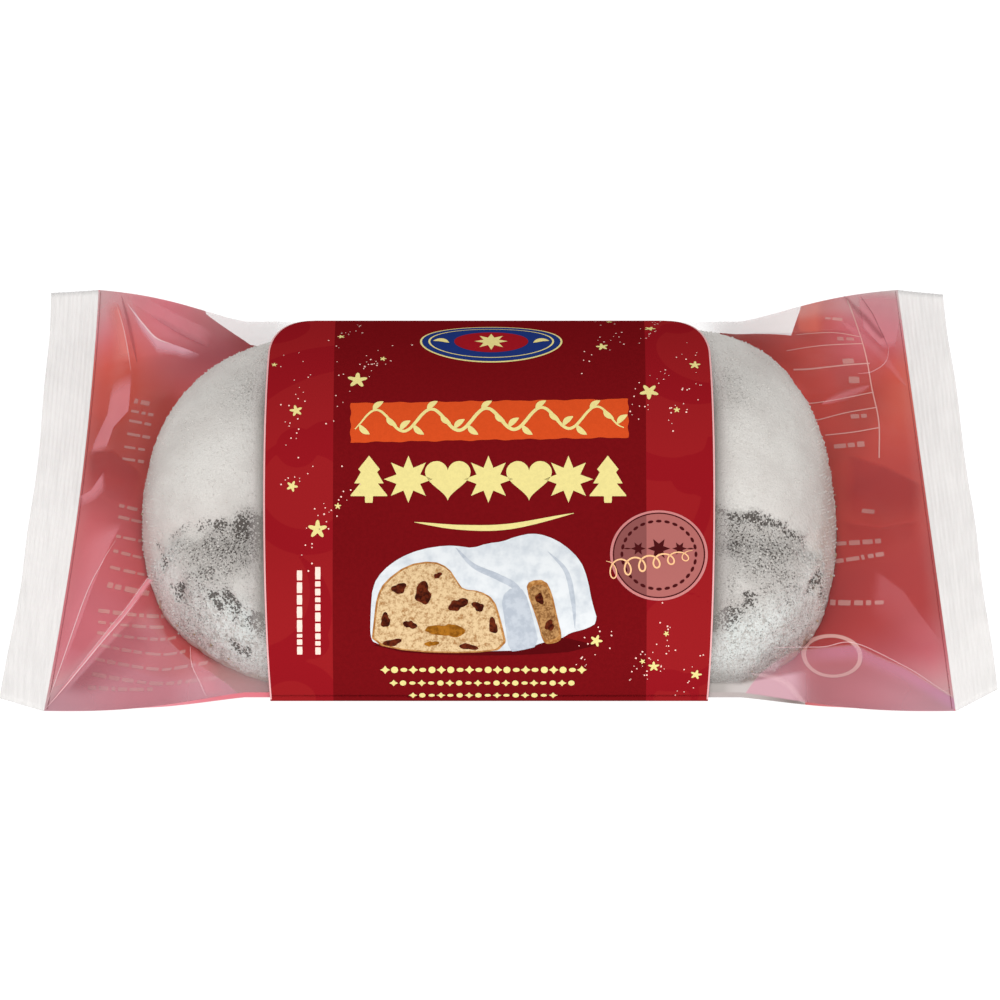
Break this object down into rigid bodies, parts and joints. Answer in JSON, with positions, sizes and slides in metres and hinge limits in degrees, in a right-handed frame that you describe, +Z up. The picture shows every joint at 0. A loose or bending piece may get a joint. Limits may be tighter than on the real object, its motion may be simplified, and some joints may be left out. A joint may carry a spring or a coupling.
{
  "type": "packed stollen loaf",
  "caption": "A whole sugar-dusted stollen in a sealed clear film bag with flat end seals, a red back print and a red printed label across the middle.",
  "frame": {"origin": "On the flat base, below the middle of the pack's overall box.", "axes": "+X along the loaf to the right seal, +Y to the back of the pack, +Z up."},
  "size_m": [0.2018, 0.113, 0.0394],
  "materials": {
    "film": "clear glossy film over white icing sugar, with a red print on the back",
    "print": "smooth printed film in dark red with brighter red side bands",
    "stollen": "dry icing sugar over a baked crust"
  },
  "bodies": {
    "root": {"bag": "film", "label": "print"}
  },
  "joints": []
}
